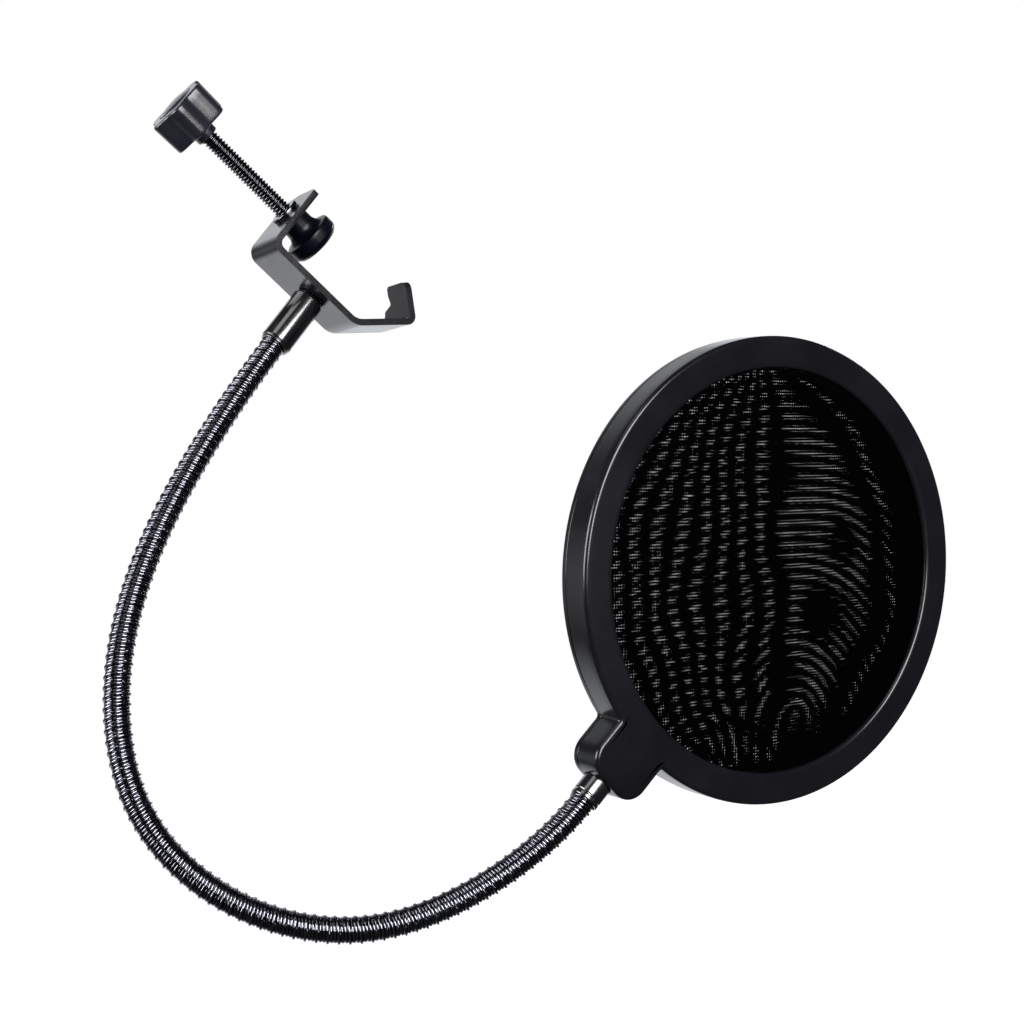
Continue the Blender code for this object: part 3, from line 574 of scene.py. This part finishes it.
neck_start = clamp_point(FERRULE_ALONG, -BASE_FERRULE_L)
neck_end = Vector(RING_CENTRE) + HEAD_FERRULE_END * TAB_DIR
route, chord = clamped_spline([neck_start, *ROUTE, neck_end], -T_AXIS, -TAB_DIR)
fine = np.array([route(chord * k / 2400) for k in range(2401)])
lead = np.array([neck_start + T_AXIS * d for d in np.linspace(12, 0.2, 60)])
tail = np.array([neck_end - TAB_DIR * d for d in np.linspace(0.2, 10, 50)])
path = np.concatenate([lead, fine, tail])
run = np.concatenate([[0.0], np.cumsum(np.linalg.norm(np.diff(path, axis=0), axis=1))]) - 12.0
NECK_LENGTH = float(np.linalg.norm(np.diff(fine, axis=0), axis=1).sum())
# one frame of directions carried along the whole length without twist
step_count = 4000
stations = np.linspace(run[0], run[-1], step_count)
spots = np.stack([np.interp(stations, run, path[:, k]) for k in range(3)], 1)
tangents = np.gradient(spots, axis=0)
tangents /= np.linalg.norm(tangents, axis=1)[:, None]
side = np.zeros_like(spots)
side[0] = np.cross(tangents[0], [0, 1, 0])
side[0] /= np.linalg.norm(side[0])
for k in range(1, step_count):
    v = side[k - 1] - (side[k - 1] @ tangents[k]) * tangents[k]
    side[k] = v / np.linalg.norm(v)
other = np.cross(tangents, side)


def neck_at(s):
    """Centre, side and other direction at a length along the gooseneck."""
    mix = [np.array([np.interp(s, stations, a[:, k]) for k in range(3)]).T for a in (spots, side, other)]
    return mix


def rib(x):
    """Radius over one turn of the winding: a proud wire and two lower ones."""
    low = NECK_R - 0.75
    r = np.full_like(x, low)
    for middle, half_wide, top_r in ((0.0, 0.165, 4.42), (0.35, 0.14, 4.02), (0.67, 0.14, 4.02), (1.0, 0.165, 4.42)):
        t = np.clip(1 - np.abs((x - middle) / half_wide) ** 3, 0, 1)
        r = np.maximum(r, low + (top_r - low) * t ** 0.5)
    return r


def wound_tube(name, low, high, per_turn=27, around=30):
    """Close-wound wires: the surface of a right-hand helix of round ribs."""
    count = int((high - low) / NECK_PITCH * per_turn) + 1
    s = np.linspace(low, high, count)
    centre, u, v = neck_at(s)
    k = np.arange(around)
    a = math.tau * k / around
    phase = (s[:, None] / NECK_PITCH - k[None, :] / around) % 1.0
    r = rib(phase)
    p = centre[:, None, :] + r[:, :, None] * (np.cos(a)[None, :, None] * u[:, None, :] + np.sin(a)[None, :, None] * v[:, None, :])
    verts = list((p.reshape(-1, 3) * MM))
    faces = []
    for i in range(count - 1):
        for j in range(around):
            n = (j + 1) % around
            faces.append([i * around + j, i * around + n, (i + 1) * around + n, (i + 1) * around + j])
    faces.append(list(range(around))[::-1])
    faces.append(list(range((count - 1) * around, count * around)))
    return smooth(outward(link_mesh(name, verts, faces)), 75)


joint_at = [NECK_LENGTH * k / NECK_SEGMENTS for k in range(1, NECK_SEGMENTS)]
for k, at in enumerate(joint_at):
    low = -9.5 if k == 0 else (joint_at[k - 1] + at) / 2
    high = NECK_LENGTH + 9.0 if k == NECK_SEGMENTS - 2 else (at + joint_at[k + 1]) / 2
    tube = wound_tube(f"gooseneck_winding_{k + 1}", low, high)
    tube.data.materials.append(COIL)
    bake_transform(tube)
    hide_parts(*([f"gooseneck_{k + 1}", f"gooseneck_{k + 2}"] if k == NECK_SEGMENTS - 2 else [f"gooseneck_{k + 1}"]))

# --------------------------------------------------------------- filter head


def head_outline(per_arc=10, around=300):
    """(x, y, normal x, normal y) round the head in the tab's flat frame, with
    small fillets where the lug meets the ring."""
    half_width, c, fillet = TAB_WIDTH / 2, TAB_CORNER_R, 1.2
    # fillet circle touches the ring from outside and the lug's flat side
    cy = half_width + fillet
    cx = math.sqrt((RING_R + fillet) ** 2 - cy**2)
    meet = math.atan2(cy, cx)
    points = []
    for k in range(around + 1):
        a = meet + (math.tau - 2 * meet) * k / around
        points.append((RING_R * math.cos(a), RING_R * math.sin(a), math.cos(a), math.sin(a)))
    upper = []
    start_angle, stop_angle = math.pi + meet, math.pi * 1.5
    for k in range(per_arc + 1):
        a = start_angle + (stop_angle - start_angle) * k / per_arc
        upper.append((cx + fillet * math.cos(a), cy + fillet * math.sin(a), -math.cos(a), -math.sin(a)))
    side_run = [(cx + (TAB_END - c - cx) * k / 5, half_width, 0.0, 1.0) for k in range(1, 5)]
    corner = []
    for k in range(15):
        a = math.pi / 2 - math.pi / 2 * k / 14
        corner.append((TAB_END - c + c * math.cos(a), half_width - c + c * math.sin(a), math.cos(a), math.sin(a)))
    end_run = [(TAB_END, (half_width - c) * (1 - 2 * k / 4), 1.0, 0.0) for k in range(1, 4)]
    top_half = upper[1:] + side_run + corner
    # order: ring from +meet round to -meet, then the lug from below to above
    return points + [(x, -y, nx, -ny) for x, y, nx, ny in upper[1:]] + [(x, -y, nx, -ny) for x, y, nx, ny in side_run] \
        + [(x, -y, nx, -ny) for x, y, nx, ny in corner] + [(x, -y, nx, ny) for x, y, nx, ny in end_run] + list(reversed(top_half))


def shell_loft(name, section_out, section_in, look, node):
    """section_out: (inset from the outline, z) down the outside; section_in:
    (radius, z) back up the inside. Both shells are one closed loop."""
    outline = head_outline()
    clean = [outline[0]]
    for p in outline[1:]:
        if math.hypot(p[0] - clean[-1][0], p[1] - clean[-1][1]) > 0.02:
            clean.append(p)
    if math.hypot(clean[0][0] - clean[-1][0], clean[0][1] - clean[-1][1]) < 0.02:
        clean.pop()
    rows = []
    verts = []
    for inset, z in section_out:
        row = []
        for x, y, nx, ny in clean:
            row.append(len(verts))
            verts.append(((x - nx * inset) * MM, (y - ny * inset) * MM, z * MM))
        rows.append(row)
    for radius, z in section_in:
        row = []
        for x, y, nx, ny in clean:
            a = math.atan2(y, x)
            row.append(len(verts))
            verts.append((radius * math.cos(a) * MM, radius * math.sin(a) * MM, z * MM))
        rows.append(row)
    faces = []
    n_row = len(rows)
    count = len(clean)
    for i in range(n_row):
        a, b = rows[i], rows[(i + 1) % n_row]
        for k in range(count):
            n = (k + 1) % count
            faces.append([a[k], b[k], b[n], a[n]])
    obj = outward(link_mesh(name, verts, faces, TAB_FLAT))
    return obj


H = RING_HALF
front_low, rear_high = RING_SPLIT + 0.15, RING_SPLIT - 0.15
wall_in = RING_R - 2.0
plate_in = H - 1.5
r0 = RING_INNER_R


def quarter(radius, steps=6):
    return [(radius * (1 - math.sin(a)), radius * (1 - math.cos(a))) for a in (math.pi / 2 * k / steps for k in range(steps + 1))]


front_edge = [(i, H - d) for i, d in quarter(1.4, 8)]
lip_steps = [(r0 + 1.4 * (1 - math.sin(a)), H - 1.4 * (1 - math.cos(a))) for a in (math.pi / 2 * k / 6 for k in range(7))][::-1]
front = shell_loft("ring_front",
                   [(2.6, H), (1.8, H)] + front_edge + [(0, 3.0), (0, 0.0), (0, front_low + 0.25), (0.2, front_low), (0.8, front_low)],
                   [(wall_in, front_low), (wall_in, plate_in), (r0, plate_in)] + lip_steps + [(r0 + 2.0, H), (RING_R - 3.4, H)], SHELL, "")
rear_edge = [(i, -H + d) for i, d in quarter(1.7, 8)][::-1]
rear = shell_loft("ring_rear",
                  [(1.2, rear_high), (0.55, rear_high), (0.32, rear_high - 0.12), (0.25, rear_high - 0.4)] + [(max(i, 0.25), z) for i, z in rear_edge] + [(2.6, -H)],
                  [(RING_R - 4.0, -H), (r0 + 0.8, -H), (r0, -H + 0.8), (r0, -plate_in), (RING_R - 4.1, -plate_in), (RING_R - 4.1, 2.2), (wall_in - 0.3, 2.2), (wall_in - 0.3, rear_high)], SHELL, "")
for shell, name in ((front, "front"), (rear, "rear")):
    tools = [cutter(rod(HEAD_FERRULE_R + 0.25, COLLAR_AT + 1, TAB_END + 6), TAB, 48), cutter(rod(6.1, COLLAR_AT - 0.6, COLLAR_AT + 2.2), TAB, 48)]
    if name == "rear":
        for lean in (1, -1):
            at = TAB_FLAT @ Matrix.Translation((TAB_SCREW_AT * MM, lean * TAB_SCREW_SIDE * MM, 0))
            tools.append(cutter([(0, 0), (1.5, 0), (1.5, -5.2), (2.6, -5.5), (2.6, -12), (0, -12)][::1], at, 40))
    cut(shell, *tools, folded=name == "rear")
    tidy = bmesh.new()
    tidy.from_mesh(shell.data)
    bmesh.ops.remove_doubles(tidy, verts=tidy.verts[:], dist=2e-6)
    bmesh.ops.dissolve_degenerate(tidy, edges=tidy.edges[:], dist=2e-6)
    bmesh.ops.delete(tidy, geom=[v for v in tidy.verts if not v.link_faces], context="VERTS")
    tidy.to_mesh(shell.data)
    tidy.free()
    smooth(shell, 38)
keep(front, SHELL, "filter_head", "shell_plastic", "ring_front_shell")
keep(rear, SHELL, "filter_head", "shell_plastic", "ring_rear_shell")

for label in ("front_hoop", "rear_hoop", "spacer_ring"):
    node = frame["nodes"][label]
    node.data.materials.clear()
    node.data.materials.append(SHELL_IN)
    node.data.shade_smooth()
node = frame["nodes"]["base_washer"]
node.data.materials.clear()
node.data.materials.append(ZINC)

for lean, label in ((1, "left"), (-1, "right")):
    at = TAB_FLAT @ Matrix.Translation((TAB_SCREW_AT * MM, lean * TAB_SCREW_SIDE * MM, 0))
    screw = lathe(f"tab_screw_{label}_look", rounded([(0, 2.4), (0.7, 2.0), (1.05, 0.6), (1.05, -5.4), (2.3, -5.8), (2.3, -6.3), (1.6, -6.9), (0, -6.95)], [0, 0, 0, 0, 0.1, 0.2, 0.5, 0]), at, steps=40)
    bars = [solid_plate(f"bar_{label}_{n}", [(-x, -y), (x, -y), (x, y), (-x, y)], -9, -6.2 + 0.02 * n, at) for n, (x, y) in enumerate(((1.3, 0.28), (0.28, 1.3)))]
    cut(screw, *bars)
    smooth(screw, 35)
    keep(screw, ZINC, "filter_head", "fastener_steel", f"tab_screw_{label}")


def net(name, level, reach, pitch, thread, bend):
    """One layer of stretched knit: a fabric of small openings whose yarns
    are crowned along the middle. bend(x, z) gives the local shift in
    millimetres, where the knit was pulled unevenly over its hoop."""
    half_hole = (pitch - thread) / 2
    lines = int(reach / pitch) + 24
    corners, verts, faces = {}, [], []

    def knot(i, j):
        if (i, j) not in corners:
            x, z = (i - 0.5) * pitch, (j - 0.5) * pitch
            dx, dz = bend(x, z)
            corners[i, j] = len(verts)
            verts.append(((x + dx) * MM, (z + dz) * MM, (level + (0.07 if (i + j) % 2 else 0.03)) * MM))
        return corners[i, j]

    for i in range(-lines, lines + 1):
        for j in range(-lines, lines + 1):
            x, z = i * pitch, j * pitch
            dx, dz = bend(x, z)
            px = x + dx + 0.045 * math.sin(12.9 * i + 78.2 * j)
            pz = z + dz + 0.045 * math.sin(39.3 * i - 11.1 * j)
            if px * px + pz * pz > reach * reach:
                continue
            slack = half_hole * (1.05 - 0.0024 * x + 0.001 * z)
            open_x = 0.96 * slack * (1 + 0.22 * math.sin(5.7 * i + 31.0 * j))
            open_z = 1.1 * slack * (1 + 0.22 * math.sin(17.3 * i + 4.1 * j))
            rim = [knot(i, j), knot(i + 1, j), knot(i + 1, j + 1), knot(i, j + 1)]
            base = len(verts)
            verts.extend([((px + u * open_x) * MM, (pz + v * open_z) * MM, (level - 0.04) * MM) for u, v in ((-1, -1), (1, -1), (1, 1), (-1, 1))])
            for k in range(4):
                n = (k + 1) % 4
                faces.append([rim[k], rim[n], base + n, base + k])
    obj = link_mesh(name, verts, faces, RING)
    obj.data.shade_smooth()
    obj.data.materials.append(NET)
    return obj


NET_PITCH = 0.95
NET_THREAD = 0.695
REACH = 70.5


IN_STEP = 0.62


def strain(x, z):
    """How far the rear knit is out of step with the front one, in stitches,
    across and up. The nets were pulled over their hoops by hand, so the
    rows fan out from two gathers near the bottom and the columns bulge."""
    gather_1 = math.hypot(x + 31.5, z + 64.0)
    gather_2 = math.hypot(x - 12.0, z + 56.0)
    s = 5.0
    low = min(gather_1, gather_2)
    near = low - s * math.log(math.exp((low - gather_1) / s) + math.exp((low - gather_2) / s))
    rows = 0.28 * near
    bulge = math.sqrt(max(0.1, 1.1 - 0.85 * (z / 68.0) ** 2))
    xs = -6.0 + (x + 6.0) / bulge
    columns = 0.145 * xs - 0.13 * 22.0 * 0.8862 * math.erf((xs - 27.0) / 22.0)
    wander = 0.2 * math.sin(x / 9.0 + z / 13.0) + 0.14 * math.sin(z / 6.0 - x / 12.0)
    return columns + wander + IN_STEP, rows + 0.25 * math.sin(x / 10.0 + 0.7) * math.sin(z / 14.0)


def pull_front(x, z):
    columns, rows = strain(x, z)
    return (-0.5 * NET_PITCH * columns, -0.5 * NET_PITCH * (rows - 16))


def pull_rear(x, z):
    columns, rows = strain(x, z)
    return (0.5 * NET_PITCH * columns, 0.5 * NET_PITCH * (rows - 16))


net_top = plate_in - 0.3
front_net = net("net_front", net_top - 0.2, REACH, NET_PITCH, NET_THREAD, pull_front)
rear_net = net("net_rear", -net_top + 0.2, REACH, NET_PITCH, NET_THREAD, pull_rear)
for piece, node in ((front_net, "front_net"), (rear_net, "rear_net")):
    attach(piece, "filter_head")
    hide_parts(node)

# ------------------------------------------------------------ stage and light

floor = link_mesh("floor", [(-12, -12, -0.62), (12, -12, -0.62), (12, 12, -0.62), (-12, 12, -0.62)], [[0, 1, 2, 3]])
pale, tree, shader = nodes_of("pale_floor")
shader.inputs["Base Color"].default_value = (0.93, 0.93, 0.93, 1)
shader.inputs["Roughness"].default_value = 0.9
shader.inputs["Specular IOR Level"].default_value = 0.0
shader.inputs["Emission Color"].default_value = (1, 1, 1, 1)
shader.inputs["Emission Strength"].default_value = 0.9
floor.data.materials.append(pale)
floor.visible_glossy = False
floor.visible_diffuse = False

world = bpy.data.worlds.new("studio")
bpy.context.scene.world = world
world.use_nodes = True
tree = world.node_tree
tree.nodes.clear()
new, link = tree.nodes.new, tree.links.new
out = new("ShaderNodeOutputWorld")
white = new("ShaderNodeBackground")
white.inputs["Color"].default_value = (1, 1, 1, 1)
white.inputs["Strength"].default_value = 1.0
room = new("ShaderNodeBackground")
room.inputs["Color"].default_value = (0.93, 0.96, 1, 1)
mixed = new("ShaderNodeMixShader")
rays = new("ShaderNodeLightPath")
link(rays.outputs["Is Camera Ray"], mixed.inputs["Fac"])
link(room.outputs["Background"], mixed.inputs[1])
link(white.outputs["Background"], mixed.inputs[2])
link(mixed.outputs["Shader"], out.inputs["Surface"])
# the lit sweep behind the product, seen only in reflections
where = new("ShaderNodeTexCoord")
brightest = None
for aim, trim in (((0.1, 0.79, -0.61), 0.0), ((0.14, 0.95, 0.3), 0.045), ((0.62, 0.78, -0.05), 0.0), ((-0.66, 0.75, -0.1), 0.12)):
    dot = new("ShaderNodeVectorMath")
    dot.operation = "DOT_PRODUCT"
    dot.inputs[1].default_value = Vector(aim).normalized()
    link(where.outputs["Generated"], dot.inputs[0])
    lobe = new("ShaderNodeMath")
    lobe.operation = "SUBTRACT"
    link(dot.outputs["Value"], lobe.inputs[0])
    lobe.inputs[1].default_value = trim
    if brightest is None:
        brightest = lobe.outputs["Value"]
    else:
        top_of = new("ShaderNodeMath")
        top_of.operation = "MAXIMUM"
        link(brightest, top_of.inputs[0])
        link(lobe.outputs["Value"], top_of.inputs[1])
        brightest = top_of.outputs["Value"]
level = new("ShaderNodeMapRange")
level.interpolation_type = "SMOOTHSTEP"
level.inputs["From Min"].default_value = 0.80
level.inputs["From Max"].default_value = 0.97
level.inputs["To Min"].default_value = 0.05
level.inputs["To Max"].default_value = 1.3
link(brightest, level.inputs["Value"])
link(level.outputs["Result"], room.inputs["Strength"])


def softbox(name, at_azimuth, at_elevation, distance, size, size_y, radiance):
    """A softbox placed by direction round the product; its output is given
    as the brightness of its face."""
    middle = Vector((0.0, -0.05, -0.08))
    a, e = math.radians(at_azimuth), math.radians(at_elevation)
    at = middle + distance * Vector((math.sin(a) * math.cos(e), -math.cos(a) * math.cos(e), math.sin(e)))
    data = bpy.data.lights.new(name, "AREA")
    data.shape = "RECTANGLE"
    data.size = size
    data.size_y = size_y
    data.energy = radiance * math.pi * size * size_y
    obj = bpy.data.objects.new(name, data)
    obj.location = at
    obj.rotation_euler = (at - middle).to_track_quat("Z", "Y").to_euler()
    bpy.context.scene.collection.objects.link(obj)
    obj.visible_camera = False
    return obj


softbox("left_box", -103, 10, 1.2, 0.85, 0.6, 11.0)
softbox("front_box", -10, 18, 1.3, 0.62, 0.9, 14.0)
softbox("right_box", 114, 22, 1.2, 0.16, 0.22, 10.0)
softbox("edge_box", 11, 26, 1.3, 0.24, 0.4, 15.0)
softbox("haze_box", 30, -3, 1.3, 0.14, 0.26, 0.8)
softbox("top_box", -60, 60, 1.3, 0.5, 0.5, 2.0)

azimuth, elevation = math.radians(-32.1), math.radians(2.6)
back_dir = Vector((math.sin(azimuth) * math.cos(elevation), -math.cos(azimuth) * math.cos(elevation), math.sin(elevation)))
right = Vector((math.cos(azimuth), math.sin(azimuth), 0))
up = back_dir.cross(right)
lens = bpy.data.cameras.new("camera")
lens.lens = 63.65
lens.sensor_width = 36
lens.clip_start = 0.01
lens.clip_end = 60
camera = bpy.data.objects.new("camera", lens)
camera.matrix_world = Matrix.Translation((-0.2895, -0.5685, -0.0518)) @ Matrix((right, up, back_dir)).transposed().to_4x4()
bpy.context.scene.collection.objects.link(camera)
bpy.context.scene.camera = camera
bpy.context.scene.view_settings.view_transform = "Standard"
